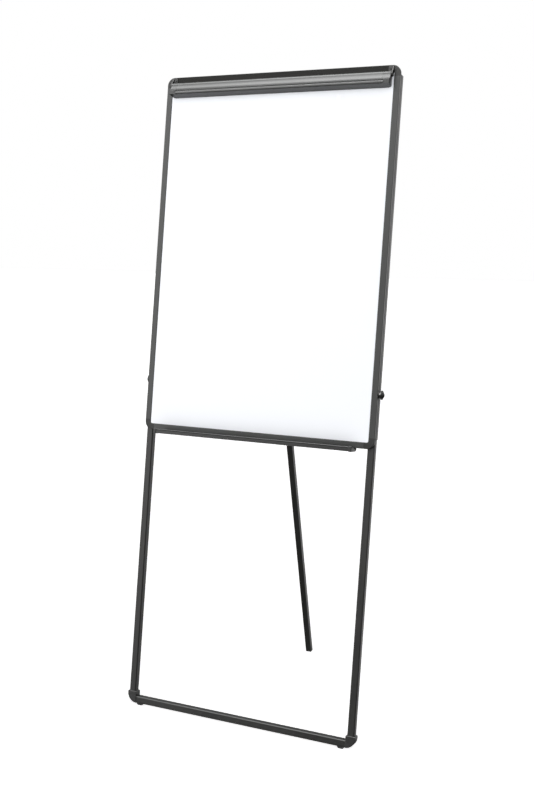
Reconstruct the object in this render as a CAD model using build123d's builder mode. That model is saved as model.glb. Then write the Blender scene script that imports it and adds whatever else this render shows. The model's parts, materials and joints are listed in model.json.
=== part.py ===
from build123d import *
import os
from math import atan2, cos, degrees, radians, sin

# A flipchart easel: a leaning framed whiteboard on a telescopic front leg frame and one rear leg.
# Millimetres. +Z is up, +X is the reader's right and +Y points from the reader to the rear leg.
# The origin is on the floor, in the middle of the space that the easel covers.
#
# The board has its own directions: height runs up along the board from its bottom edge, depth runs
# back from the frame's front face, and x is the same as the easel's X. The rear leg has the same
# three directions of its own, with its hinge pin as the starting point.

os.makedirs("parts", exist_ok=True)

# ---------------------------------------------------------------- driving dimensions

# Board and its frame
board_width = 700
board_height = 1020
lean = 9.8  # degrees that the board leans back from upright
frame_face = 17.4  # width of the frame's profile, seen from the front
frame_depth = 8
frame_wall = 1.6
frame_edge_round = 1.2
frame_corner_round = 22
corner_reach = 30  # length of a corner piece along each side
inner_corner_round = 5
groove_height = 6  # how far the panel's edge goes into the profile
tongue_length = 24  # a corner piece's tongue inside the hollow of the profile
tongue_clearance = 0.15

# Panel
surface_thickness = 0.5
core_thickness = 4
panel_clearance = 0.1

# Front legs and their sleeves
leg_size = 20
leg_wall = 1.2
leg_round = 3
leg_inset = 1.5  # from the board's side edge to the leg's outer face
leg_reach = 806  # from the board's bottom edge down to the foot bar's underside
leg_overlap = 160  # length of leg inside its sleeve when fully drawn out
sleeve_gap = 0.3
sleeve_wall = 1.2
sleeve_margin = 25  # from the board's top and bottom edges to the ends of the sleeve
plug_gap = 0.1
plug_length = 22
plug_head = 3
cap_head = 1.6
cap_plug = 12

# Elbows, foot bar and pads
elbow_width = 28
elbow_rim = 14  # height of the elbow's socket above the foot bar
elbow_wall = 1.5
elbow_socket = 18  # depth of the socket that holds the end of the leg
elbow_corner_round = 3
elbow_edge_round = 1.5
spigot_length = 34
pad_width = 21
pad_length = 19
pad_height = 5
pad_crown = 6.4
pad_inset = 12.5  # from the foot bar's end to the pad's centre
pad_peg_radius = 3

# Rear leg
hinge_height = 510
hinge_clearance = 2.5  # from the hinge bracket to the folded rear leg
spread = 23.1  # degrees between the open rear leg and the board
rear_inner_size = 18
rear_gap = 0.25
rear_wall = 1.25
rear_round = 2.5
rear_outer_length = 555  # from the hinge pin down to the end of the outer tube
rear_overlap = 130
rear_plug_length = 24
rear_head = 10  # from the hinge pin up to the end of the outer tube
stop_gap = 0.05  # between the open leg's head and the bracket that stops it
collar_length = 28
collar_wall = 2
collar_grip = 13  # length of outer tube inside the collar
collar_knob_inset = 7.5  # from the collar's lower end to the knob's axis
rear_foot_height = 9
rear_foot_round = 1.2

# Crossbar, hinge bracket and pin
crossbar_height = 30
crossbar_depth = 20
crossbar_wall = 1.2
bracket_plate = 2
bracket_width = 64
bracket_height = 28
ear_radius = 7.5
ear_gap = 0.5
bracket_screw_x = 23
pin_radius = 3
pin_clearance = 0.05
pin_head_radius = 5
pin_head = 2
clip_thickness = 0.8

# Lock knobs
knob_height = 146  # above the board's bottom edge
knob_radius = 12.8
knob_thickness = 8.2
knob_rim = 2.6
knob_gap = 0.6
knob_socket = 5
nut_radius = 7.5
nut_length = 4
nut_neck_radius = 5
lock_screw_radius = 3
screw_tip_gap = 0.05

# Pen tray
tray_length = 600
tray_front = 38  # from the board's front face to the front of the lip
tray_drop = 8  # from the board's bottom edge to the tray's underside
tray_lip_top = 3
tray_sheet = 1.6
tray_flange_top = 13
tray_bead_radius = 1.7
tray_cap_width = 8
tray_cap_wall = 2
tray_cap_skirt = 1.2
tray_cap_tail = 5  # height of the cap's low end, beside the board
tray_screw_height = 6
tray_screw_pitch = 120

# Clamp bar for the pad of paper
clamp_inset = 22  # from the board's side edge to the clamp bar's end
clamp_cap_width = 20
clamp_pivot_depth = -9
clamp_pivot_drop = 27  # from the board's top edge to the pivot
knuckle_radius = 8
clamp_wall = 2
clamp_front = 25  # from the board's front face to the clamp's nose
nose_top = -16.5  # heights on the clamp bar are measured from the pivot
nose_bottom = -28
jaw_bottom = -32.4
jaw_back = 7.8  # from the pivot back to the end of the jaw
jaw_thickness = 2.4
cove_sag = 1.9  # how far the front wall curves in
nose_round = 0.6
channel_height = 9.6
channel_depth = 1.5
channel_end = 14.5  # from the clamp bar's end to the end of the channel
strip_height = 6.6
strip_depth = 2.7
strip_end_gap = 0.8
strip_drop = 0.9  # from the channel's middle down to the strip's middle
strip_round = 1.9
grip_depth = 2.8
clamp_corner_round = 5
clamp_plug_length = 8
clamp_plug_depth = 14
clamp_plug_height = 8
clamp_pin_radius = 2.5
clamp_pin_length = 50
clamp_ear_width = 3.2
clamp_ear_radius = 7
clamp_ear_gap = 0.8
clamp_flange = 1.5
clamp_flange_length = 15
clamp_flange_height = 13
clamp_flange_drop = 3.2
clamp_screw_inset = 9

# Clamp springs
coil_radius = 4.9
coil_wire = 0.6  # radius of the wire
coil_pitch = 1.7
coil_turns = 4
coil_start_angle = -34  # degrees round from straight back
coil_long_arm = 26.2
coil_short_arm = 9.5
coil_rest_gap = 0.1
coil_inset = 44  # from the clamp bar's end to the coil

# Hook rail and its two pad pegs
hook_rail_length = 600
hook_rail_height = 17
hook_rail_depth = 5
hook_rail_wall = 1.1
hook_slot = 6.4
hook_screw_inset = 10
peg_spacing = 280
peg_radius = 3
peg_reach = 10
peg_foot_length = 14
peg_gap = 0.15
peg_tip_round = 1

# Brackets that tie the frame to the sleeves, and the one size of screw
tie_height = 24
tie_reach = 26
tie_arm = 17
tie_sheet = 1.6
tie_heights = (150, 400, 680, 900)
tie_screw_inset = 15
screw_radius = 1.5
screw_length = 5.2
screw_head_radius = 3
screw_head = 1.8
screw_clearance = 0.05

# ---------------------------------------------------------------- worked out from them

half_width = board_width / 2
clamp_length = board_width - 2 * clamp_inset
groove_edge = frame_face - groove_height
groove_depth = 2 * panel_clearance + 2 * surface_thickness + core_thickness
surface_front = frame_wall + panel_clearance

leg_x = half_width - leg_inset - leg_size / 2
sleeve_inside = leg_size + 2 * sleeve_gap
sleeve_size = sleeve_inside + 2 * sleeve_wall
leg_depth = frame_depth + sleeve_size / 2
leg_front = leg_depth - leg_size / 2
leg_inside = leg_size - 2 * leg_wall
bar_height = -leg_reach + leg_size / 2
bar_top = -leg_reach + leg_size
bar_half = leg_x - elbow_width / 2
rear_outer_size = rear_inner_size + 2 * rear_gap + 2 * rear_wall
crossbar_back = frame_depth + crossbar_depth
plate_back = crossbar_back + bracket_plate
hinge_depth = plate_back + hinge_clearance + rear_outer_size / 2
rear_inner_top = rear_outer_length - rear_overlap

# The board's bottom front edge stands this far above the floor, on the level soles of the pads.
lean_sin, lean_cos = sin(radians(lean)), cos(radians(lean))
board_z = (leg_reach + pad_height) * lean_cos + leg_front * lean_sin
rear_lean = spread - lean
rear_sin, rear_cos = sin(radians(rear_lean)), cos(radians(rear_lean))
hinge_z = board_z + hinge_height * lean_cos - hinge_depth * lean_sin
rear_length = hinge_z / rear_cos

# The origin is midway between the front of the elbows and the back of the rear foot.
hinge_from_board = hinge_height * lean_sin + hinge_depth * lean_cos
front_reach = frame_depth * lean_cos - leg_reach * lean_sin
back_reach = hinge_from_board + rear_length * rear_sin + rear_inner_size / 2 / rear_cos
board_y = -(front_reach + back_reach) / 2


def plane_makers(origin, tilt):
    """Return face, cut and side: the three kinds of plane of a body that leans back by tilt degrees.

    face(depth) looks forward, with x to the right and y up the body.
    cut(height) looks up the body, with x to the right and y back.
    side(x) looks to the right, with x back and y up the body.
    """
    right = Vector(1, 0, 0)
    up = Vector(0, sin(radians(tilt)), cos(radians(tilt)))
    back = Vector(0, cos(radians(tilt)), -sin(radians(tilt)))

    def place(x, height, depth):
        return origin + right * x + up * height + back * depth

    def face(depth, x=0, height=0):
        return Plane(place(x, height, depth), x_dir=right, z_dir=-back)

    def cut(height, x=0, depth=0):
        return Plane(place(x, height, depth), x_dir=right, z_dir=up)

    def side(x, height=0, depth=0):
        return Plane(place(x, height, depth), x_dir=back, z_dir=right)

    return face, cut, side


board_origin = Vector(0, board_y, board_z)
hinge_origin = Vector(0, board_y + hinge_from_board, hinge_z)
board_face, board_cut, board_side = plane_makers(board_origin, lean)
rear_face, rear_cut, rear_side = plane_makers(hinge_origin, -rear_lean)
floor = Plane.XY


def keep(builder, name):
    """Label a finished piece and write it to its own file."""
    builder.part.label = name
    export_step(builder.part, f"parts/{name}.step")


def square_ring(plane, size, wall, rounding):
    """Draw the section of a square tube."""
    with BuildSketch(plane) as section:
        RectangleRounded(size, size, rounding)
        RectangleRounded(size - 2 * wall, size - 2 * wall, rounding - wall, mode=Mode.SUBTRACT)
    return section.sketch


def rounded_square(plane, size, rounding):
    """Draw a square with round corners."""
    with BuildSketch(plane) as section:
        RectangleRounded(size, size, rounding)
    return section.sketch


def disc(plane, radius):
    """Draw a circle."""
    with BuildSketch(plane) as section:
        Circle(radius)
    return section.sketch


# ---------------------------------------------------------------- screw positions

forward = board_face(0).z_dir
right_dir = board_face(0).x_dir
up_dir = board_face(0).y_dir

# Each plane is a screw's seat, and looks the way that the screw's head faces.
hands = (("left", -1), ("right", 1))
panel_back = surface_front + 2 * surface_thickness + core_thickness
sleeve_inner_x = leg_x - sleeve_size / 2
tie_seats = [
    -board_face(panel_back + tie_sheet, sign * (sleeve_inner_x - tie_screw_inset), height)
    for name, sign in hands
    for height in tie_heights
]
tray_seats = [
    -board_face(frame_depth + tray_sheet, step * tray_screw_pitch, tray_screw_height)
    for step in (-2, -1, 0, 1, 2)
]
clamp_pivot = board_height - clamp_pivot_drop
hook_rail_top = clamp_pivot - coil_radius - coil_wire - coil_rest_gap
hook_rail_middle = hook_rail_top - hook_rail_height / 2
hook_screw_x = hook_rail_length / 2 - hook_screw_inset
hook_seats = [
    board_face(surface_front - hook_rail_wall, step * hook_screw_x, hook_rail_middle)
    for step in (-1, 0, 1)
]
clamp_flange_middle = board_height - clamp_flange_drop - clamp_flange_height / 2
clamp_screw_x = clamp_length / 2 + clamp_ear_gap + clamp_ear_width - clamp_screw_inset
clamp_seats = [board_face(-clamp_flange, sign * clamp_screw_x, clamp_flange_middle) for name, sign in hands]
hinge_seats = [-board_face(plate_back, sign * bracket_screw_x, hinge_height) for name, sign in hands]
elbow_back = leg_depth + leg_size / 2 + elbow_wall
elbow_seats = [-board_face(elbow_back, sign * leg_x, bar_top + elbow_rim / 2) for name, sign in hands]


def screws(seats):
    """Add pan-head screws to the part being built, one on each seat."""
    for seat in seats:
        extrude(disc(seat, screw_head_radius), amount=screw_head)
        extrude(disc(seat, screw_radius), amount=-screw_length)


def drill(seats):
    """Cut the screws' holes from the part being built."""
    for seat in seats:
        extrude(disc(seat, screw_radius + screw_clearance), amount=-screw_length, mode=Mode.SUBTRACT)


# ---------------------------------------------------------------- the board's frame

# The four sides follow one another round the frame. Each starts at a corner, and its profile is
# drawn with x back from the front face and y inwards from the outer edge.
sides = (
    ("frame_bottom_rail", "frame_corner_bottom_left", -half_width, 0, right_dir, board_width),
    ("frame_right_stile", "frame_corner_bottom_right", half_width, 0, up_dir, board_height),
    ("frame_top_rail", "frame_corner_top_right", half_width, board_height, -right_dir, board_width),
    ("frame_left_stile", "frame_corner_top_left", -half_width, board_height, -up_dir, board_height),
)
hollow_width = groove_edge - 2 * frame_wall
tongue_start = frame_wall + tongue_clearance
tongue_width = hollow_width - 2 * tongue_clearance

for side_name, corner_name, corner_x, corner_height, along, span in sides:
    corner = board_face(0, corner_x, corner_height).origin
    with BuildPart() as frame_side:
        with BuildSketch(Plane(corner + along * corner_reach, x_dir=-forward, z_dir=along)) as profile:
            Rectangle(frame_depth, frame_face, align=Align.MIN)
            fillet(profile.vertices().group_by(Axis.X)[0], frame_edge_round)
            with Locations((frame_wall, frame_wall)):
                Rectangle(frame_depth - 2 * frame_wall, hollow_width, align=Align.MIN, mode=Mode.SUBTRACT)
            with Locations((frame_wall, groove_edge)):
                Rectangle(groove_depth, groove_height, align=Align.MIN, mode=Mode.SUBTRACT)
        extrude(amount=span - 2 * corner_reach)
        drill(tray_seats)
    keep(frame_side, side_name)

    # A corner piece is an L with a round outside, grooved for the panel, with a tongue for each side.
    corner_plane = Plane(corner, x_dir=along, z_dir=forward)
    with BuildPart() as corner_piece:
        with BuildSketch(corner_plane) as outline:
            Rectangle(corner_reach, frame_face, align=Align.MIN)
            Rectangle(frame_face, corner_reach, align=Align.MIN)
            fillet(outline.vertices().sort_by_distance((0, 0))[0], frame_corner_round)
            fillet(outline.vertices().sort_by_distance((frame_face, frame_face))[0], inner_corner_round)
        extrude(amount=-frame_depth)
        front_edges = corner_piece.faces().sort_by(Axis(corner, forward))[-1].edges()
        places = [(edge, corner_plane.to_local_coords(edge.center())) for edge in front_edges]
        fillet([edge for edge, at in places if max(at.X, at.Y) < corner_reach - 1e-3], frame_edge_round)
        with BuildSketch(corner_plane.offset(-frame_wall)):
            with Locations((groove_edge, groove_edge)):
                Rectangle(corner_reach, corner_reach, align=Align.MIN)
        extrude(amount=-groove_depth, mode=Mode.SUBTRACT)
        with BuildSketch(corner_plane.offset(-tongue_start)):
            with Locations((corner_reach, tongue_start)):
                Rectangle(tongue_length, tongue_width, align=Align.MIN)
            with Locations((tongue_start, corner_reach)):
                Rectangle(tongue_width, tongue_length, align=Align.MIN)
        extrude(amount=-(frame_depth - 2 * tongue_start))
        drill(clamp_seats)
    keep(corner_piece, corner_name)

# ---------------------------------------------------------------- the panel

panel_inset = groove_edge + panel_clearance
panel_layers = (
    ("writing_surface", surface_front, surface_thickness),
    ("panel_core", surface_front + surface_thickness, core_thickness),
    ("panel_back_sheet", surface_front + surface_thickness + core_thickness, surface_thickness),
)
for name, depth, thickness in panel_layers:
    with BuildPart() as layer:
        with BuildSketch(board_face(depth, height=board_height / 2)):
            Rectangle(board_width - 2 * panel_inset, board_height - 2 * panel_inset)
        extrude(amount=-thickness)
        drill(tie_seats + hook_seats)
    keep(layer, name)

# ---------------------------------------------------------------- sleeves, legs and foot bar

sleeve_length = board_height - 2 * sleeve_margin
sleeve_round = leg_round + sleeve_gap + sleeve_wall
leg_top = sleeve_margin + leg_overlap
leg_bottom = bar_top + elbow_rim - elbow_socket
leg_span = leg_top - leg_bottom
elbow_depth = leg_size + 2 * elbow_wall
spigot_size = leg_inside - 2 * plug_gap
spigot_round = leg_round - leg_wall
pad_x = bar_half - pad_inset


def lock_hub(sign):
    """The plane on a sleeve's outer face where its lock knob stands, looking outwards."""
    seat = board_face(leg_depth, sign * (leg_x + sleeve_size / 2), knob_height)
    return Plane(seat.origin, x_dir=up_dir, z_dir=right_dir * sign)


for name, sign in hands:
    hub = lock_hub(sign)
    hand = right_dir * sign

    with BuildPart() as sleeve:
        foot = board_cut(sleeve_margin, sign * leg_x, leg_depth)
        extrude(square_ring(foot, sleeve_size, sleeve_wall, sleeve_round), amount=sleeve_length)
        neck_hole = disc(hub, nut_neck_radius + screw_clearance)
        extrude(neck_hole, amount=-sleeve_wall, mode=Mode.SUBTRACT)
    keep(sleeve, f"{name}_sleeve_tube")

    with BuildPart() as sleeve_cap:
        mouth = board_cut(sleeve_margin + sleeve_length, sign * leg_x, leg_depth)
        extrude(rounded_square(mouth, sleeve_size, sleeve_round), amount=cap_head)
        fillet(sleeve_cap.faces().sort_by(Axis(mouth.origin, up_dir))[-1].edges(), cap_head / 2)
        cap_size = sleeve_inside - 2 * plug_gap
        extrude(rounded_square(mouth, cap_size, leg_round + sleeve_gap - plug_gap), amount=-cap_plug)
    keep(sleeve_cap, f"{name}_sleeve_cap")

    with BuildPart() as leg:
        foot = board_cut(leg_bottom, sign * leg_x, leg_depth)
        extrude(square_ring(foot, leg_size, leg_wall, leg_round), amount=leg_span)
        drill(elbow_seats)
    keep(leg, f"{name}_leg_tube")

    with BuildPart() as leg_plug:
        mouth = board_cut(leg_top, sign * leg_x, leg_depth)
        guide = sleeve_inside - 2 * plug_gap
        extrude(rounded_square(mouth, guide, leg_round + sleeve_gap - plug_gap), amount=plug_head)
        extrude(rounded_square(mouth, spigot_size, spigot_round), amount=-plug_length)
    keep(leg_plug, f"{name}_leg_plug")

    # The elbow is a quarter disc below and a socket above, with a spigot for each tube.
    elbow_plane = Plane(
        board_face(leg_depth, sign * bar_half, -leg_reach).origin,
        x_dir=hand,
        z_dir=forward * sign,
    )
    with BuildPart() as elbow:
        with BuildSketch(elbow_plane) as outline:
            with BuildLine():
                CenterArc((0, elbow_width), elbow_width, 270, 90)
                Polyline(
                    (elbow_width, elbow_width),
                    (elbow_width, leg_size + elbow_rim),
                    (0, leg_size + elbow_rim),
                    (0, 0),
                )
            make_face()
            fillet(outline.vertices().group_by(Axis.Y)[-1], elbow_corner_round)
        extrude(amount=elbow_depth / 2, both=True)
        ends = elbow.faces().filter_by(Plane(elbow_plane.origin, z_dir=forward))
        fillet(ends.edges(), elbow_edge_round)
        foot = board_cut(leg_bottom, sign * leg_x, leg_depth)
        extrude(rounded_square(foot, leg_size, leg_round), amount=elbow_socket, mode=Mode.SUBTRACT)
        extrude(rounded_square(foot, spigot_size, spigot_round), amount=spigot_length)
        bar_end = board_side(sign * bar_half, bar_height, leg_depth)
        extrude(rounded_square(bar_end, spigot_size, spigot_round), amount=-sign * spigot_length)
        pad_seat = board_cut(-leg_reach, sign * pad_x, leg_depth)
        extrude(disc(pad_seat, pad_peg_radius + screw_clearance), amount=leg_size / 2, mode=Mode.SUBTRACT)
        drill(elbow_seats)
    keep(elbow, f"{name}_elbow")

    # The pad is a rubber dome with a peg into the foot bar, cut level with the floor.
    pad_plane = board_face(leg_depth, sign * pad_x, -leg_reach)
    dome_radius = ((pad_width / 2) ** 2 + pad_crown**2) / (2 * pad_crown)
    with BuildPart() as pad:
        with BuildSketch(pad_plane):
            with BuildLine():
                ThreePointArc((-pad_width / 2, 0), (0, -pad_crown), (pad_width / 2, 0))
                Line((-pad_width / 2, 0), (pad_width / 2, 0))
            make_face()
        extrude(amount=pad_length / 2, both=True)
        split(bisect_by=floor, keep=Keep.TOP)
        extrude(disc(pad_seat, pad_peg_radius), amount=leg_size / 2 - plug_gap)
    keep(pad, f"{name}_foot_pad")

with BuildPart() as foot_bar:
    bar_end = board_side(-bar_half, bar_height, leg_depth)
    extrude(square_ring(bar_end, leg_size, leg_wall, leg_round), amount=2 * bar_half)
    for name, sign in hands:
        pad_seat = board_cut(-leg_reach, sign * pad_x, leg_depth)
        extrude(disc(pad_seat, pad_peg_radius + screw_clearance), amount=leg_wall, mode=Mode.SUBTRACT)
keep(foot_bar, "foot_bar")

with BuildPart() as lock_nuts:
    for name, sign in hands:
        hub = lock_hub(sign)
        extrude(disc(hub, nut_radius), amount=nut_length)
        extrude(disc(hub, nut_neck_radius), amount=-sleeve_wall)
        bore = disc(hub.offset(nut_length), lock_screw_radius + pin_clearance)
        extrude(bore, amount=-(nut_length + sleeve_wall), mode=Mode.SUBTRACT)
keep(lock_nuts, "sleeve_lock_nuts")

with BuildPart() as elbow_screws:
    screws(elbow_seats)
keep(elbow_screws, "elbow_screws")

# ---------------------------------------------------------------- ties, crossbar and hinge bracket

with BuildPart() as ties:
    for height in tie_heights:
        for name, sign in hands:
            with BuildSketch(board_cut(height - tie_height / 2, sign * sleeve_inner_x, panel_back)):
                with Locations((-sign * tie_reach / 2, tie_sheet / 2)):
                    Rectangle(tie_reach, tie_sheet)
                with Locations((-sign * tie_sheet / 2, tie_arm / 2)):
                    Rectangle(tie_sheet, tie_arm)
            extrude(amount=tie_height)
    drill(tie_seats)
keep(ties, "frame_tie_brackets")

with BuildPart() as crossbar:
    middle_depth = frame_depth + crossbar_depth / 2
    with BuildSketch(board_side(-sleeve_inner_x, hinge_height, middle_depth)):
        RectangleRounded(crossbar_depth, crossbar_height, crossbar_wall * 2)
        RectangleRounded(
            crossbar_depth - 2 * crossbar_wall,
            crossbar_height - 2 * crossbar_wall,
            crossbar_wall,
            mode=Mode.SUBTRACT,
        )
    extrude(amount=2 * sleeve_inner_x)
    drill(hinge_seats)
keep(crossbar, "back_crossbar")

ear_inside = rear_outer_size / 2 + ear_gap
hinge_side = board_side(0, hinge_height, hinge_depth)
with BuildPart() as hinge_bracket:
    with BuildSketch(board_face(crossbar_back, height=hinge_height)):
        RectangleRounded(bracket_width, bracket_height, bracket_plate)
    extrude(amount=-bracket_plate)
    for name, sign in hands:
        with BuildSketch(hinge_side.offset(sign * (ear_inside + bracket_plate / 2))) as ear:
            Circle(ear_radius)
            with Locations((crossbar_back - hinge_depth + bracket_plate / 2, 0)):
                Rectangle(bracket_plate, bracket_height - 2 * bracket_plate)
            make_hull()
        extrude(amount=bracket_plate / 2, both=True)
    extrude(disc(hinge_side, pin_radius + pin_clearance), amount=bracket_width, both=True, mode=Mode.SUBTRACT)
    drill(hinge_seats)
keep(hinge_bracket, "rear_hinge_bracket")

pin_end = ear_inside + bracket_plate
clip_start = pin_end + pin_clearance
groove_radius = pin_radius - clip_thickness / 2
with BuildPart() as hinge_pin:
    extrude(disc(hinge_side.offset(pin_end), pin_radius), amount=-(2 * pin_end + 3 * clip_thickness))
    extrude(disc(hinge_side.offset(pin_end), pin_head_radius), amount=pin_head)
    with BuildSketch(hinge_side.offset(-clip_start)):
        Circle(pin_radius + 1)
        Circle(groove_radius, mode=Mode.SUBTRACT)
    extrude(amount=-clip_thickness, mode=Mode.SUBTRACT)
keep(hinge_pin, "rear_hinge_pin")

with BuildPart() as pin_clip:
    with BuildSketch(hinge_side.offset(-clip_start)):
        Circle(pin_head_radius)
        Circle(groove_radius + pin_clearance, mode=Mode.SUBTRACT)
        with Locations((pin_head_radius, 0)):
            Rectangle(2 * pin_head_radius, groove_radius * 1.6, mode=Mode.SUBTRACT)
    extrude(amount=-clip_thickness)
keep(pin_clip, "rear_hinge_clip")

# ---------------------------------------------------------------- rear leg

rear_inside = rear_outer_size - 2 * rear_wall
stop = board_face(plate_back + stop_gap)
pin_hole_radius = pin_radius + pin_clearance
rear_hub_height = -(rear_outer_length - collar_grip + collar_length - collar_knob_inset)
rear_hub_x = rear_outer_size / 2 + collar_wall
rear_hub = Plane(
    rear_side(rear_hub_x, rear_hub_height).origin,
    x_dir=rear_face(0).y_dir,
    z_dir=right_dir,
)
collar_neck = rear_hub_x - rear_inside / 2

with BuildPart() as rear_outer:
    foot = rear_cut(-rear_outer_length)
    ring = square_ring(foot, rear_outer_size, rear_wall, rear_round + rear_gap + rear_wall)
    extrude(ring, amount=rear_outer_length + rear_head)
    split(bisect_by=stop, keep=Keep.BOTTOM)
    extrude(disc(hinge_side, pin_hole_radius), amount=rear_outer_size, both=True, mode=Mode.SUBTRACT)
keep(rear_outer, "rear_leg_outer_tube")

with BuildPart() as rear_top_plug:
    mouth = rear_cut(rear_head)
    block = rounded_square(mouth, rear_inside - 2 * plug_gap, rear_round + rear_gap - plug_gap)
    extrude(block, amount=-rear_plug_length)
    split(bisect_by=stop, keep=Keep.BOTTOM)
    extrude(disc(hinge_side, pin_hole_radius), amount=rear_outer_size, both=True, mode=Mode.SUBTRACT)
keep(rear_top_plug, "rear_leg_head_block")

collar_round = rear_round + rear_gap + rear_wall
with BuildPart() as collar:
    top = rear_cut(-(rear_outer_length - collar_grip))
    tube_end = rear_cut(-rear_outer_length)
    collar_size = rear_outer_size + 2 * collar_wall
    extrude(rounded_square(top, collar_size, collar_round + collar_wall), amount=-collar_length)
    fillet(collar.edges().filter_by(rear_cut(0)), collar_wall / 4)
    extrude(rounded_square(top, rear_outer_size, collar_round), amount=-collar_grip, mode=Mode.SUBTRACT)
    passage = rounded_square(tube_end, rear_inside, rear_round + rear_gap)
    extrude(passage, amount=-(collar_length - collar_grip), mode=Mode.SUBTRACT)
    neck_hole = disc(rear_hub, nut_neck_radius + screw_clearance)
    extrude(neck_hole, amount=-collar_neck, mode=Mode.SUBTRACT)
keep(collar, "rear_leg_collar")

with BuildPart() as rear_nut:
    extrude(disc(rear_hub, nut_radius), amount=nut_length)
    extrude(disc(rear_hub, nut_neck_radius), amount=-(collar_neck - rear_gap))
    bore = disc(rear_hub.offset(nut_length), lock_screw_radius + pin_clearance)
    extrude(bore, amount=-(nut_length + collar_neck), mode=Mode.SUBTRACT)
keep(rear_nut, "rear_lock_nut")

rear_tube_end = -(rear_length - rear_foot_height)
rear_inner_inside = rear_inner_size - 2 * rear_wall
with BuildPart() as rear_inner:
    foot = rear_cut(rear_tube_end)
    ring = square_ring(foot, rear_inner_size, rear_wall, rear_round)
    extrude(ring, amount=-rear_tube_end - rear_inner_top)
keep(rear_inner, "rear_leg_inner_tube")

with BuildPart() as rear_guide:
    mouth = rear_cut(-rear_inner_top)
    guide = rounded_square(mouth, rear_inside - 2 * plug_gap, rear_round + rear_gap - plug_gap)
    extrude(guide, amount=plug_head)
    stem = rounded_square(mouth, rear_inner_inside - 2 * plug_gap, rear_round - rear_wall)
    extrude(stem, amount=-plug_length)
keep(rear_guide, "rear_leg_plug")

with BuildPart() as rear_foot:
    mouth = rear_cut(rear_tube_end)
    extrude(rounded_square(mouth, rear_inner_size, rear_round), amount=-2 * rear_foot_height)
    split(bisect_by=floor, keep=Keep.TOP)
    fillet(rear_foot.faces().sort_by(Axis.Z)[0].edges(), rear_foot_round)
    stem = rounded_square(mouth, rear_inner_inside - 2 * plug_gap, rear_round - rear_wall)
    extrude(stem, amount=plug_length)
keep(rear_foot, "rear_foot")

# ---------------------------------------------------------------- lock knobs

# Each knob is a low dome on a screw. The screw runs through the nut and presses on the tube.
knob_crown = knob_thickness - knob_rim
crown_radius = (knob_radius**2 + knob_crown**2) / (2 * knob_crown)
crown_angle = degrees(atan2(knob_radius, crown_radius - knob_crown))
knob_start = nut_length + knob_gap
locks = (
    ("left", lock_hub(-1), sleeve_wall + sleeve_gap),
    ("right", lock_hub(1), sleeve_wall + sleeve_gap),
    ("rear", rear_hub, collar_neck + rear_gap),
)
for name, hub, reach in locks:
    profile_plane = Plane(hub.origin, x_dir=hub.z_dir, z_dir=hub.y_dir)
    with BuildPart() as knob:
        with BuildSketch(profile_plane):
            with BuildLine():
                Polyline(
                    (knob_start + knob_thickness, 0),
                    (knob_start, 0),
                    (knob_start, knob_radius),
                    (knob_start + knob_rim, knob_radius),
                )
                CenterArc((knob_start + knob_thickness - crown_radius, 0), crown_radius, 0, crown_angle)
            make_face()
        revolve(axis=Axis(hub.origin, hub.z_dir))
        socket = disc(hub.offset(knob_start), lock_screw_radius)
        extrude(socket, amount=knob_socket, mode=Mode.SUBTRACT)
    keep(knob, f"{name}_lock_knob")

    with BuildPart() as lock_screw:
        tip = disc(hub.offset(screw_tip_gap - reach), lock_screw_radius)
        extrude(tip, amount=reach - screw_tip_gap + knob_start + knob_socket)
    keep(lock_screw, f"{name}_lock_screw")

# ---------------------------------------------------------------- pen tray

tray_back = frame_depth + tray_sheet
tray_end_x = tray_length / 2 - tray_cap_wall


def tray_section(plane):
    """Draw the tray's section: a flange behind the rail, a floor, and a lip with a bead."""
    with BuildSketch(plane) as section:
        with BuildLine():
            Polyline(
                (tray_back, tray_flange_top),
                (frame_depth, tray_flange_top),
                (frame_depth, -tray_drop + tray_sheet),
                (-tray_front + tray_sheet, -tray_drop + tray_sheet),
                (-tray_front + tray_sheet, tray_lip_top),
                (-tray_front, tray_lip_top),
                (-tray_front, -tray_drop),
                (tray_back, -tray_drop),
                close=True,
            )
        make_face()
        with Locations((-tray_front + tray_sheet / 2, tray_lip_top)):
            Circle(tray_bead_radius)
    return section.sketch


with BuildPart() as tray:
    extrude(tray_section(board_side(-tray_end_x)), amount=2 * tray_end_x)
    drill(tray_seats)
keep(tray, "pen_tray")

for name, sign in hands:
    inner_end = board_side(sign * (tray_length / 2 - tray_cap_width))
    with BuildPart() as tray_cap:
        with BuildSketch(inner_end) as outline:
            low = -tray_drop - tray_cap_skirt
            high = tray_lip_top + tray_bead_radius + tray_cap_skirt
            with BuildLine():
                Polyline(
                    (-tray_cap_skirt, low),
                    (-tray_front - tray_cap_skirt, low),
                    (-tray_front - tray_cap_skirt, high),
                    (-tray_front + tray_sheet + tray_cap_skirt, high),
                    (-tray_cap_skirt, low + tray_cap_tail),
                    close=True,
                )
            make_face()
            fillet(outline.vertices(), tray_cap_skirt)
        extrude(amount=sign * tray_cap_width)
        outer_face = tray_cap.faces().sort_by(Axis(board_origin, right_dir * sign))[-1]
        fillet(outer_face.edges(), tray_cap_skirt)
        pocket = tray_section(inner_end)
        extrude(pocket, amount=sign * (tray_cap_width - tray_cap_wall), mode=Mode.SUBTRACT)
    keep(tray_cap, f"{name}_tray_cap")

# ---------------------------------------------------------------- clamp bar

# The clamp's section is drawn from its pivot: x runs back towards the panel and y runs up.
# A round knuckle at the top turns on the pin, the front wall curves in to a nose that holds a
# trim strip, and the jaw runs back from the nose to the panel.
nose = -clamp_front - clamp_pivot_depth
wall_back = nose + channel_depth + clamp_wall


def clamp_side(x):
    """The plane across the clamp bar at x, with its origin on the pivot."""
    return board_side(x, clamp_pivot, clamp_pivot_depth)


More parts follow.
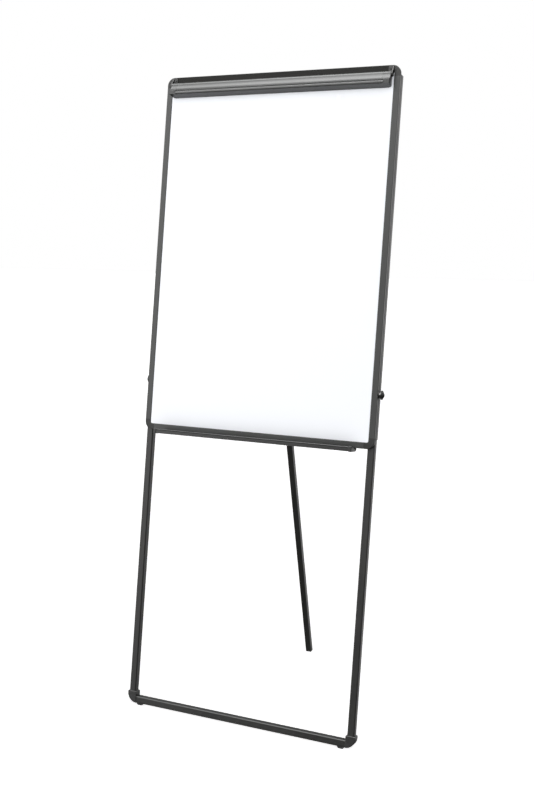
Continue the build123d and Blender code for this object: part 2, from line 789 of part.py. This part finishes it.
def clamp_outline(plane):
    """Draw the clamp's outer shape, filled in."""
    cove_middle = ((nose - knuckle_radius) / 2 + cove_sag, nose_top / 2)
    with BuildSketch(plane) as section:
        with BuildLine():
            ThreePointArc((-knuckle_radius, 0), cove_middle, (nose, nose_top))
            Polyline(
                (nose, nose_top),
                (nose, nose_bottom),
                (jaw_back, jaw_bottom),
                (jaw_back, 0),
                (-knuckle_radius, 0),
            )
        make_face()
        fillet(section.vertices().group_by(Axis.X)[0], nose_round)
        Circle(knuckle_radius)
    return section.sketch


def clamp_hollow(plane):
    """Draw the space inside the clamp bar, open towards the panel."""
    wall_top = clamp_wall - knuckle_radius
    cove_middle = ((wall_back + wall_top) / 2 + cove_sag, nose_top / 2)
    with BuildSketch(plane) as section:
        with BuildLine():
            ThreePointArc((wall_top, 0), cove_middle, (wall_back, nose_top))
            Polyline(
                (wall_back, nose_top),
                (wall_back, nose_bottom + clamp_wall),
                (jaw_back, jaw_bottom + jaw_thickness),
                (2 * knuckle_radius, jaw_bottom + jaw_thickness),
                (2 * knuckle_radius, 2 * knuckle_radius),
                (0, 0),
                (wall_top, 0),
            )
        make_face()
        Circle(knuckle_radius - clamp_wall)
    return section.sketch


channel_half = clamp_length / 2 - channel_end
strip_half = channel_half - strip_end_gap
nose_middle = clamp_pivot + (nose_top + nose_bottom) / 2
cap_start = clamp_length / 2 - clamp_cap_width
nose_face = board_face(-clamp_front, height=nose_middle)


def cut_channel():
    """Cut the round-ended channel for the trim strip."""
    with BuildSketch(nose_face) as channel:
        SlotOverall(2 * channel_half, channel_height)
    extrude(channel.sketch, amount=-channel_depth, mode=Mode.SUBTRACT)


with BuildPart() as clamp_bar:
    extrude(clamp_outline(clamp_side(-cap_start)), amount=2 * cap_start)
    extrude(clamp_hollow(clamp_side(-cap_start)), amount=2 * cap_start, mode=Mode.SUBTRACT)
    cut_channel()
keep(clamp_bar, "clamp_bar")

clamp_hole_radius = clamp_pin_radius + pin_clearance
plug_middle_x = wall_back + plug_gap + clamp_plug_depth / 2
plug_middle_y = nose_top - clamp_plug_height / 2
for name, sign in hands:
    inner_end = clamp_side(sign * cap_start)
    with BuildPart() as clamp_cap:
        extrude(clamp_outline(inner_end), amount=sign * clamp_cap_width)
        with BuildSketch(board_face(0, height=clamp_pivot + knuckle_radius)):
            RectangleRounded(clamp_length, 2 * (knuckle_radius - jaw_bottom), clamp_corner_round)
        extrude(amount=2 * clamp_front, both=True, mode=Mode.INTERSECT)
        with BuildSketch(inner_end):
            with Locations((plug_middle_x, plug_middle_y)):
                RectangleRounded(clamp_plug_depth, clamp_plug_height, clamp_wall)
        extrude(amount=-sign * clamp_plug_length)
        pin_bore = disc(clamp_side(0), clamp_hole_radius)
        extrude(pin_bore, amount=sign * clamp_length, mode=Mode.SUBTRACT)
        cut_channel()
    keep(clamp_cap, f"{name}_clamp_cap")

    # The clamp hangs between two ears, each bent from a flange on the frame's top corner.
    ear_outer = sign * (clamp_length / 2 + clamp_ear_gap + clamp_ear_width)
    with BuildPart() as clamp_bracket:
        with BuildSketch(clamp_side(ear_outer)):
            Circle(clamp_ear_radius)
            flange_corner = (
                -clamp_pivot_depth - clamp_flange,
                clamp_pivot_drop - clamp_flange_drop - clamp_flange_height,
            )
            with Locations(flange_corner):
                Rectangle(clamp_flange, clamp_flange_height, align=Align.MIN)
            make_hull()
        extrude(amount=-sign * clamp_ear_width)
        flange_middle_x = ear_outer - sign * clamp_flange_length / 2
        with BuildSketch(board_face(0, flange_middle_x, clamp_flange_middle)):
            RectangleRounded(clamp_flange_length, clamp_flange_height, clamp_flange)
        extrude(amount=clamp_flange)
        extrude(pin_bore, amount=sign * board_width, mode=Mode.SUBTRACT)
        drill(clamp_seats)
    keep(clamp_bracket, f"{name}_clamp_bracket")

with BuildPart() as clamp_pins:
    for name, sign in hands:
        ear_outer = sign * (clamp_length / 2 + clamp_ear_gap + clamp_ear_width)
        extrude(disc(clamp_side(ear_outer), clamp_pin_radius), amount=-sign * clamp_pin_length)
keep(clamp_pins, "clamp_pins")

with BuildPart() as trim_strip:
    with BuildSketch(nose_face.offset(-channel_depth)):
        with Locations((0, -strip_drop)):
            SlotOverall(2 * strip_half, strip_height)
    extrude(amount=strip_depth)
    fillet(trim_strip.faces().sort_by(Axis(board_origin, forward))[-1].edges(), strip_round)
keep(trim_strip, "clamp_trim_strip")

grip_half = clamp_length / 2 - clamp_corner_round - clamp_wall
with BuildPart() as grip_strip:
    with BuildSketch(clamp_side(-grip_half)):
        with Locations((jaw_back, jaw_bottom)):
            Rectangle(grip_depth, jaw_thickness, align=Align.MIN)
    extrude(amount=2 * grip_half)
keep(grip_strip, "clamp_grip_strip")

# A torsion spring round each pin. Its long arm presses on the clamp's floor, to close the jaw, and
# its short arm lies on top of the hook rail.
coil_plane = clamp_side(clamp_length / 2 - coil_inset)
coil_length = coil_pitch * (coil_turns + (270 - coil_start_angle) / 360)
wire = coil_plane * Rot(0, 0, coil_start_angle) * Helix(coil_pitch, coil_length, coil_radius)
with BuildPart() as clamp_springs:
    with BuildSketch(Plane(wire @ 0, z_dir=wire % 0)):
        Circle(coil_wire)
    sweep(path=wire)
    extrude(disc(Plane(wire @ 0, z_dir=-(wire % 0)), coil_wire), amount=coil_long_arm)
    extrude(disc(Plane(wire @ 1, z_dir=wire % 1), coil_wire), amount=coil_short_arm)
    mirror(about=Plane.YZ)
keep(clamp_springs, "clamp_springs")

# ---------------------------------------------------------------- hook rail and pad pegs

with BuildPart() as hook_rail:
    with BuildSketch(board_side(-hook_rail_length / 2, hook_rail_middle, surface_front)):
        with Locations((-hook_rail_depth / 2, 0)):
            Rectangle(hook_rail_depth, hook_rail_height)
            Rectangle(
                hook_rail_depth - 2 * hook_rail_wall,
                hook_rail_height - 2 * hook_rail_wall,
                mode=Mode.SUBTRACT,
            )
        with Locations((-hook_rail_depth + hook_rail_wall / 2, 0)):
            Rectangle(hook_rail_wall, hook_slot, mode=Mode.SUBTRACT)
    extrude(amount=hook_rail_length)
    drill(hook_seats)
keep(hook_rail, "hook_rail")

for name, sign in hands:
    foot_depth = hook_rail_depth - 2 * (hook_rail_wall + peg_gap)
    foot_height = hook_rail_height - 2 * (hook_rail_wall + peg_gap)
    foot = board_face(surface_front - hook_rail_wall - peg_gap, sign * peg_spacing / 2, hook_rail_middle)
    with BuildPart() as peg:
        with BuildSketch(foot):
            RectangleRounded(peg_foot_length, foot_height, peg_tip_round)
        extrude(amount=foot_depth)
        extrude(disc(foot, peg_radius), amount=hook_rail_depth - hook_rail_wall - peg_gap + peg_reach)
        fillet(peg.faces().sort_by(Axis(board_origin, forward))[-1].edges(), peg_tip_round)
    keep(peg, f"{name}_pad_peg")

# ---------------------------------------------------------------- the frame's screws

with BuildPart() as frame_screws:
    screws(tie_seats + tray_seats + hook_seats + clamp_seats + hinge_seats)
keep(frame_screws, "frame_screws")
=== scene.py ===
# %% [markdown]
# # A flipchart easel
#
# The easel's tubes, profiles, castings and joints come ready made as a frame of solids, each in its
# own node and at its real size in metres. This lesson gives every one of them a finish, makes the few
# pieces whose fine shape is better as a surface, and lights the whole for a catalogue picture.

# %% Load the solids
import json
import math

import bpy
import numpy as np
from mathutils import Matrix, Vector


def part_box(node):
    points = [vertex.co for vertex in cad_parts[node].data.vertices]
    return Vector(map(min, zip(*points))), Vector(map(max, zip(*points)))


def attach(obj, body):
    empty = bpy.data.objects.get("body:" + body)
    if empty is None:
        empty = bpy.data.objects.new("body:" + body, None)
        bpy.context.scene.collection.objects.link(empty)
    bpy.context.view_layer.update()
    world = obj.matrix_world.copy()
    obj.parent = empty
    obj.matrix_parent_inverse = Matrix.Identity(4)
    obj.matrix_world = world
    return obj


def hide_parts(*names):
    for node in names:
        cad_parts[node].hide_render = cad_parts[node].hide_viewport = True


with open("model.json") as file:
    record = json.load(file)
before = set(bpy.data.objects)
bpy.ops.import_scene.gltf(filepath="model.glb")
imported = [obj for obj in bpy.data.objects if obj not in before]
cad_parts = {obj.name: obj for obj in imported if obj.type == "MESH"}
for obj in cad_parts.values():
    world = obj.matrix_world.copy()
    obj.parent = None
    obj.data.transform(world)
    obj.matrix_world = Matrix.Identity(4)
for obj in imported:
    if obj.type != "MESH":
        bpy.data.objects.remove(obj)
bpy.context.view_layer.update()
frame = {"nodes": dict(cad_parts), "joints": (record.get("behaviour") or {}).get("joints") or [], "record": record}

nodes = frame["nodes"]

# %% [markdown]
# The board leans back, so most pieces are drawn along the board and not along Z. The slide of the
# front legs runs up the board, and its axis gives the three directions that the other cells use:
# right, up along the board, and back through it.

# %% Directions along the board
slide = next(joint for joint in frame["joints"] if joint["name"] == "leg_frame_slide")
right = np.array([1.0, 0.0, 0.0])
up = np.array(slide["axis"], float)
up /= np.linalg.norm(up)
back = -np.cross(right, up)
lean = math.degrees(math.atan2(up[1], up[2]))
print("the board leans back", round(lean, 2), "degrees")

# %% [markdown]
# ## Finishes
#
# Every finish here is a Principled shader with three kinds of detail on Object coordinates: a fine
# grain in the bump, slow changes in colour and roughness, and a painted highlight that lightens edges.
# The edge comes from a Bevel node: where its rounded normal leaves the true one, the surface is near a corner.
# The same rounded normal goes into the bump, so that corners catch the light as real ones do.

# %% A helper that adds and joins shader nodes
def add_node(tree, kind, inputs=None, **settings):
    """Add a shader node, set its properties, and set or link its inputs."""
    node = tree.nodes.new(kind)
    for key, value in settings.items():
        setattr(node, key, value)
    for key, value in (inputs or {}).items():
        if isinstance(value, bpy.types.NodeSocket):
            tree.links.new(value, node.inputs[key])
        else:
            node.inputs[key].default_value = value
    return node


def noise(tree, where, scale, detail=3.0, rough=0.5):
    """Smooth random values from 0 to 1 over the surface, scale of them to the metre."""
    made = add_node(
        tree,
        "ShaderNodeTexNoise",
        {"Vector": where, "Scale": scale, "Detail": detail, "Roughness": rough},
    )
    return made.outputs["Fac"]


def remap(tree, value, low, high, new_low, new_high):
    """Stretch the range low to high over new_low to new_high, and clamp it there."""
    made = add_node(
        tree,
        "ShaderNodeMapRange",
        {"Value": value, "From Min": low, "From Max": high, "To Min": new_low, "To Max": new_high},
    )
    return made.outputs["Result"]


def mix_colours(tree, factor, one, other):
    """The colour one where factor is 0, the colour other where it is 1, and a blend between."""
    colour_a, colour_b, colour_out = 6, 7, 2
    made = add_node(
        tree, "ShaderNodeMix", {"Factor": factor, colour_a: one, colour_b: other}, data_type="RGBA"
    )
    return made.outputs[colour_out]


# %% A finish with grain, colour variation and a painted highlight on its edges
def edge_of(tree, radius):
    """Return the rounded normal near edges, and how much of an edge each point is, from 0 to 1."""
    rounded = add_node(tree, "ShaderNodeBevel", {"Radius": radius}, samples=6)
    true = add_node(tree, "ShaderNodeNewGeometry")
    cosine = add_node(
        tree,
        "ShaderNodeVectorMath",
        {0: rounded.outputs["Normal"], 1: true.outputs["Normal"]},
        operation="DOT_PRODUCT",
    )
    return rounded.outputs["Normal"], remap(tree, cosine.outputs["Value"], 0.97, 0.8, 0.0, 1.0)


def finish(
    name,
    colour,
    roughness,
    metallic=0.0,
    grain=900.0,
    grain_depth=0.00004,
    grain_detail=3.0,
    patch=6.0,
    patch_range=0.12,
    rough_range=0.08,
    edge_radius=0.0006,
    edge_highlight_gain=1.5,
    stretch=(1.0, 1.0, 1.0),
    coat=0.0,
    specular=0.5,
):
    """A procedural material: colour x (1 + patches + painted edge highlight), roughness + patches, bump from
    grain.
    """
    material = bpy.data.materials.new(name)
    material.use_nodes = True
    tree = material.node_tree
    shader = tree.nodes["Principled BSDF"]
    shader.inputs["Metallic"].default_value = metallic
    shader.inputs["Coat Weight"].default_value = coat
    shader.inputs["Coat Roughness"].default_value = 0.08
    shader.inputs["Specular IOR Level"].default_value = specular

    place = add_node(tree, "ShaderNodeTexCoord").outputs["Object"]
    scaled = add_node(tree, "ShaderNodeMapping", {"Vector": place, "Scale": stretch}).outputs["Vector"]
    rounded, edge = edge_of(tree, edge_radius)

    patches = noise(tree, place, patch, 4.0, 0.6)
    dark = [c * (1 - patch_range) for c in colour] + [1]
    light = [min(1.0, c * (1 + patch_range)) for c in colour] + [1]
    # Painted highlight: near edges the colour is lightened by this gain, standing in for the light that rounded
    # edges catch.
    edge_highlight_colour = [min(1.0, c * edge_highlight_gain) for c in colour] + [1]
    blend = remap(tree, patches, 0.3, 0.7, 0.0, 1.0)
    # The painted edge highlight is mixed over the colour where the bevel finds an edge.
    colour_with_edge_highlight = mix_colours(tree, edge, mix_colours(tree, blend, dark, light), edge_highlight_colour)
    tree.links.new(colour_with_edge_highlight, shader.inputs["Base Color"])

    smear = noise(tree, scaled, patch * 5, 5.0, 0.65)
    rough = remap(tree, smear, 0.3, 0.7, roughness - rough_range, roughness + rough_range)
    tree.links.new(rough, shader.inputs["Roughness"])

    height = noise(tree, scaled, grain, grain_detail, 0.55)
    bump = add_node(
        tree,
        "ShaderNodeBump",
        {"Height": height, "Distance": grain_depth, "Strength": 0.6, "Normal": rounded},
    )
    tree.links.new(bump.outputs["Normal"], shader.inputs["Normal"])
    return material


# %% [markdown]
# The frame profiles, the tray and the clamp bar are aluminium extrusions under a satin coat. The tubes
# are steel under the same coat, a little darker. An extrusion shows faint lines along its length, so
# its grain is stretched along the piece.

# %% Finishes for metal
along_x, along_up = (0.06, 1.0, 1.0), (1.0, 1.0, 0.06)
finishes = {
    "frame_coat": finish("satin_grey_coat", (0.030, 0.031, 0.030), 0.36, 0.1, stretch=along_up),
    # Painted shade: a darker, duller copy of the frame coat, for the top rail in the clamp's shade.
    "painted_shade_coat": finish(
        "painted_shade_top_coat", (0.006, 0.006, 0.005), 0.55, 0.0, stretch=along_x, specular=0.14
    ),
    "tray_coat": finish("tray_grey_coat", (0.012, 0.012, 0.012), 0.30, 0.1, stretch=along_x),
    "clamp_coat": finish(
        "clamp_grey_coat", (0.014, 0.015, 0.014), 0.26, 0.1, stretch=along_x, coat=0.1
    ),
    "tube_coat": finish("dark_tube_coat", (0.015, 0.015, 0.014), 0.38, 0.1, stretch=along_up),
    "bracket_steel": finish("pressed_steel_coat", (0.022, 0.022, 0.021), 0.46, 0.2, grain=1400.0),
    "black_steel": finish("black_screw_coat", (0.018, 0.018, 0.018), 0.35, 0.4, grain=2000.0),
    "plated_steel": finish(
        "zinc_plated_steel", (0.56, 0.56, 0.55), 0.32, 1.0, patch=60.0, edge_highlight_gain=1.2
    ),
    "rail_metal": finish(
        "anodised_aluminium", (0.55, 0.56, 0.57), 0.36, 1.0, stretch=along_x, edge_highlight_gain=1.2
    ),
    "back_sheet": finish(
        "rolled_sheet", (0.42, 0.43, 0.44), 0.38, 0.9, grain=500.0, stretch=along_up, edge_highlight_gain=1.1
    ),
}
print(len(finishes), "metal finishes")

# %% [markdown]
# Moulded plastic has a fine spark-eroded grain and no metal in it. Rubber is the dullest of them. The
# writing sheet is white enamel: nearly smooth, with the faint waviness of thin sheet and a clear gloss.

# %% Finishes for plastic, rubber, enamel and fibreboard
finishes.update(
    {
        "corner_plastic": finish(
            "moulded_corner_plastic",
            (0.014, 0.014, 0.013),
            0.42,
            grain=1600.0,
            grain_depth=0.00006,
            specular=0.35,
        ),
        "black_plastic": finish(
            "black_grained_plastic", (0.012, 0.012, 0.012), 0.40, grain=1800.0, grain_depth=0.00006
        ),
        "clamp_plastic": finish(
            "clamp_end_plastic", (0.024, 0.025, 0.024), 0.30, grain=1800.0, grain_depth=0.00004
        ),
        "trim_plastic": finish(
            "grey_bead_plastic", (0.060, 0.061, 0.060), 0.20, grain=1200.0, stretch=along_x, coat=0.3
        ),
        "rubber": finish(
            "matt_rubber", (0.020, 0.020, 0.020), 0.78, grain=2200.0, grain_depth=0.00008
        ),
        "core_board": finish(
            "pressed_fibreboard", (0.42, 0.31, 0.20), 0.85, grain=2500.0, grain_depth=0.00012
        ),
        "writing_sheet": finish(
            "white_enamel",
            (0.885, 0.903, 0.94),
            0.24,
            grain=9.0,
            grain_depth=0.0006,
            grain_detail=1.0,
            patch=2.5,
            patch_range=0.006,
            rough_range=0.04,
            edge_highlight_gain=1.0,
            coat=0.25,
        ),
    }
)
print(sorted(finishes))

# %% [markdown]
# Each node's record names the slot that its finish comes from. The front of the top rail is the one
# exception: it stands in the clamp's shade and looks darker, so it gets a darker, duller copy of the frame coat
# with that shade painted into its colour.

# %% Put each node's finish on it
slots = {row["node"]: row["material_slot"] for row in frame["record"]["subparts"]}
# Painted shade: the top rail takes the darker copy of the frame coat.
slots["frame_top_rail"] = "painted_shade_coat"
for name, node in nodes.items():
    node.data.materials.clear()
    node.data.materials.append(finishes[slots[name]])
print(len(slots), "nodes finished")

# %% [markdown]
# ## Surfaces made from formulas
#
# The lock knobs and the springs are round work that a solid's facets show up. Each is a surface of two
# parameters, worked out at once for a whole grid of points: a profile turned round an axis, and a
# circle carried along a wire's line.

# %% Two helpers for surfaces
def surface(name, points, triangles, slot, body, replaced):
    """Make a smooth mesh from points and faces, which rides on a body and stands for a node."""
    mesh = bpy.data.meshes.new(name)
    mesh.from_pydata(points.tolist(), [], triangles)
    mesh.shade_smooth()
    mesh.materials.append(finishes[slot])
    piece = bpy.data.objects.new(name, mesh)
    bpy.context.scene.collection.objects.link(piece)
    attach(piece, body)
    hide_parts(replaced)
    return piece


def grid_faces(rows, columns):
    """Quads between neighbouring rows of a grid whose columns close into a ring."""
    row, column = np.meshgrid(np.arange(rows - 1), np.arange(columns), indexing="ij")
    here = row * columns + column
    after = row * columns + (column + 1) % columns
    return np.stack([here, after, after + columns, here + columns], -1).reshape(-1, 4).tolist()


# %% [markdown]
# A lock knob is a low dome to turn by hand. Its rim is rounded over, a narrow ledge runs round under the
# dome, and the middle of the dome is slightly flatter than a sphere.

# %% The profile of a lock knob
def arc(centre, radius, start, end, count):
    """Points on a circle: centre + radius x (sin, cos) of an angle from start to end."""
    angle = np.radians(np.linspace(start, end, count))
    return np.stack([centre[0] + radius * np.sin(angle), centre[1] + radius * np.cos(angle)], -1)


knob_rim = 0.0026
rim_round = 0.0008
ledge_width = 0.0031
crown_power = 2.2


def knob_profile(radius, thickness, rim):
    """Distance from the axis against height: a rounded rim, then rim + dome x (1 - share ^ power)."""
    soft = rim_round
    seat = arc((radius - soft, soft), soft, 180, 90, 7)
    shoulder = arc((radius - soft, rim - soft), soft, 90, 25, 6)
    inner = radius - ledge_width
    share = np.linspace(1, 0, 26)
    height = rim + (thickness - rim) * (1 - share**crown_power)
    dome = np.stack([inner * share, height], -1)
    start = np.array([[0.0, 0.0], [radius * 0.5, 0.0]])
    return np.concatenate([start, seat, shoulder, dome])


def turned(profile, seat, outward, count=72):
    """A profile turned round an axis: seat + outward x height + (side x cos + other x sin) x radius."""
    outward = np.array(outward, float)
    side = np.cross(outward, up)
    angle = np.linspace(0, 2 * np.pi, count, endpoint=False)
    ring = np.cos(angle)[:, None] * side + np.sin(angle)[:, None] * up
    radius, height = profile[1:-1, 0], profile[1:-1, 1]
    body = seat + height[:, None, None] * outward + radius[:, None, None] * ring
    points = np.concatenate([body.reshape(-1, 3), [seat + profile[0, 1] * outward]])
    points = np.concatenate([points, [seat + profile[-1, 1] * outward]])
    rows = len(radius)
    faces = grid_faces(rows, count)
    first, last = rows * count, rows * count + 1
    faces += [[(k + 1) % count, k, first] for k in range(count)]
    top = (rows - 1) * count
    faces += [[top + k, top + (k + 1) % count, last] for k in range(count)]
    return points, faces


# %% The three lock knobs
for name, sign, body in (("left", -1, "left_lock"), ("right", 1, "right_lock"), ("rear", 1, "rear_lock")):
    low, high = (np.array(corner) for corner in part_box(f"{name}_lock_knob"))
    middle = (low + high) / 2
    thickness = high[0] - low[0]
    seat = np.array([low[0] if sign > 0 else high[0], middle[1], middle[2]])
    profile = knob_profile((high[2] - low[2]) / 2, thickness, knob_rim)
    points, faces = turned(profile, seat, right * sign)
    knob = surface(
        f"{name}_knob_dome", points, faces, "black_plastic", body, f"{name}_lock_knob"
    )
    print(knob.name, "radius", round(profile[:, 0].max() * 1000, 1), "mm")

# %% [markdown]
# The clamp's two springs are wound round its pins. A wire's line is worked out first: a straight arm
# that leans on the clamp, the coil, and a short arm that lies on the rail. A circle then follows it.

# %% The springs' line and wire
pin_low, pin_high = (np.array(corner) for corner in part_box("clamp_pins"))
pivot = (pin_low + pin_high) / 2
wire_radius, coil_radius = 0.0006, 0.0049
long_arm, short_arm = 0.0262, 0.0095
first_angle, coil_turns = math.radians(-34), 4
last_angle = math.radians(270 + coil_turns * 360)
coil_start, coil_pitch = 0.284, 0.0017


def spring_line(sign):
    """Pivot + back x r cos a + up x r sin a, moving along x by the pitch in each turn, with two arms."""
    angle = np.linspace(first_angle, last_angle, 330)[:, None]
    across = coil_start + coil_pitch * (angle - first_angle) / (2 * np.pi)
    line = pivot + coil_radius * (np.cos(angle) * back + np.sin(angle) * up) + right * across
    ends = np.stack([line[0] - line[1], line[-1] - line[-2]])
    ends /= np.linalg.norm(ends, axis=1)[:, None]
    reach = np.linspace(1, 0, 20, endpoint=False)[:, None]
    arms = line[0] + ends[0] * reach * long_arm, line[-1] + ends[1] * reach[::-1] * short_arm
    line = np.concatenate([arms[0], line, arms[1]])
    return line * [sign, 1, 1]


def wire_skin(line, radius, sides=12):
    """A circle carried along a line: line + radius x (normal x cos + binormal x sin), ends closed."""
    tangent = np.gradient(line, axis=0)
    tangent /= np.linalg.norm(tangent, axis=1)[:, None]
    normal = right - tangent * (tangent @ right)[:, None]
    normal /= np.linalg.norm(normal, axis=1)[:, None]
    binormal = np.cross(tangent, normal)
    angle = np.linspace(0, 2 * np.pi, sides, endpoint=False)[None, :, None]
    skin = line[:, None] + radius * (np.cos(angle) * normal[:, None] + np.sin(angle) * binormal[:, None])
    points = np.concatenate([skin.reshape(-1, 3), line[:1], line[-1:]])
    faces = grid_faces(len(line), sides)
    count = len(line) * sides
    faces += [[(k + 1) % sides, k, count] for k in range(sides)]
    faces += [[count - sides + k, count - sides + (k + 1) % sides, count + 1] for k in range(sides)]
    return points, faces


left_points, left_faces = wire_skin(spring_line(-1), wire_radius)
right_points, right_faces = wire_skin(spring_line(1), wire_radius)
offset = len(left_points)
both = left_faces + [[corner + offset for corner in face] for face in right_faces]
springs = surface(
    "clamp_spring_wire",
    np.concatenate([left_points, right_points]),
    both,
    "plated_steel",
    "board",
    "clamp_springs",
)
print(springs.name, len(springs.data.polygons), "faces")

# %% [markdown]
# ## Floor, light and camera
#
# Satin black metal shows little of its own colour: most of what is seen on it is the room. So the sky
# is made as a studio would light it. What glossy faces mirror is bright overhead, for the slanted face
# of the clamp, bright on the reader's left, for the frame, and white behind, for the sides of the legs.
# The light that the white board scatters comes evenly from the front, and so casts next to no shadow.

# %% Sky
sky = bpy.context.scene.world or bpy.data.worlds.new("studio")
bpy.context.scene.world = sky
sky.use_nodes = True
sky_tree = sky.node_tree
direction = add_node(sky_tree, "ShaderNodeTexCoord").outputs["Generated"]


def patch_of_sky(towards, start, end, amount):
    """Light that grows from nothing to amount as direction . towards goes from start to end."""
    towards = Vector(towards).normalized()
    facing = add_node(
        sky_tree, "ShaderNodeVectorMath", {0: direction, 1: towards}, operation="DOT_PRODUCT"
    )
    made = add_node(
        sky_tree,
        "ShaderNodeMapRange",
        {"Value": facing.outputs["Value"], "From Min": start, "From Max": end, "To Max": amount},
        interpolation_type="SMOOTHSTEP",
    )
    return made.outputs["Result"]


def add_light(one, other):
    """One amount of light plus another."""
    return add_node(sky_tree, "ShaderNodeMath", {0: one, 1: other}, operation="ADD").outputs[0]


def sky_for(amount):
    """A background of one amount of white light."""
    made = add_node(sky_tree, "ShaderNodeBackground", {"Strength": amount})
    made.inputs["Color"].default_value = (1, 1, 1, 1)
    return made.outputs[0]


def choose(which, one, other):
    """The sky called other for the rays named by which, and the sky called one for the rest."""
    return add_node(sky_tree, "ShaderNodeMixShader", {0: which, 1: one, 2: other}).outputs[0]


ceiling = patch_of_sky((0, -0.35, 1), 0.74, 0.96, 9.5)
left_wall = patch_of_sky((-0.8, -0.55, 0.35), 0.66, 0.98, 2.8)
back_wall = patch_of_sky((0.35, 0.93, -0.05), 0.82, 0.98, 1.1)
high = patch_of_sky((0, 0, 1), -0.1, 0.5, 0.6)
gleam = add_light(add_light(ceiling, left_wall), add_light(back_wall, add_light(high, 0.06)))
front = patch_of_sky((0.25, -0.95, -0.05), 0.25, 1.0, 1.8)
softness = add_light(front, 0.2)
rays = add_node(sky_tree, "ShaderNodeLightPath").outputs
lit = choose(rays["Is Glossy Ray"], sky_for(softness), sky_for(gleam))
seen = choose(rays["Is Camera Ray"], lit, sky_for(1.0))
sky_tree.links.new(seen, sky_tree.nodes["World Output"].inputs["Surface"])
bpy.context.scene.view_settings.view_transform = "Standard"

# %% [markdown]
# The floor is white paper that runs out of sight. It glows a little, as paper under its own lamps does,
# and it throws no light back up, so that the undersides of the tray and the clamp stay dark.

# %% Floor
floor_size = 40.0
bpy.ops.mesh.primitive_plane_add(size=floor_size)
ground = bpy.context.object
ground.name = "studio_floor"
paper = bpy.data.materials.new("pale_studio_paper")
paper.use_nodes = True
paper_shader = paper.node_tree.nodes["Principled BSDF"]
paper_shader.inputs["Base Color"].default_value = (0.9, 0.9, 0.9, 1)
paper_shader.inputs["Roughness"].default_value = 0.9
paper_shader.inputs["Emission Color"].default_value = (1, 1, 1, 1)
paper_shader.inputs["Emission Strength"].default_value = 0.75
ground.data.materials.append(paper)
ground.visible_diffuse = False
ground.visible_glossy = False
print("floor", floor_size, "m")

# %% [markdown]
# One large soft lamp in front on the right gives round things a shape. It is weak, because the sky does
# most of the work.


# %% A soft lamp
def lamp(name, place, target, size, power):
    """A square area lamp at a place, turned to face a target."""
    data = bpy.data.lights.new(name, "AREA")
    data.size, data.energy = size, power
    made = bpy.data.objects.new(name, data)
    bpy.context.scene.collection.objects.link(made)
    made.location = place
    made.rotation_euler = (Vector(target) - Vector(place)).to_track_quat("-Z", "Y").to_euler()
    return made


lamp("soft_side", (3.6, -0.8, 2.4), (0, 0, 1.1), 1.8, 10)
print("one lamp")

# %% [markdown]
# The camera stands to the reader's right, a little above the board's middle, and looks slightly down.
# Its place is given from the lower front edge of the board.

# %% Camera
rail_low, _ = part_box("frame_bottom_rail")
rail_depth = 0.008
foot_of_board = Vector((0, rail_low.y, rail_low.z + rail_depth * up[1]))
camera_data = bpy.data.cameras.new("camera")
camera_data.sensor_width = 36
camera_data.lens = 46.81  # millimetres
camera = bpy.data.objects.new("camera", camera_data)
bpy.context.scene.collection.objects.link(camera)
camera_offset = Vector((1.1808, -2.5803, 0.6125))
looks_down, looks_left = 10.055, 23.855  # degrees
camera.location = foot_of_board + camera_offset
camera.rotation_euler = (math.radians(90 - looks_down), 0, math.radians(looks_left))
bpy.context.scene.camera = camera
print("camera", [round(c, 3) for c in camera.location])
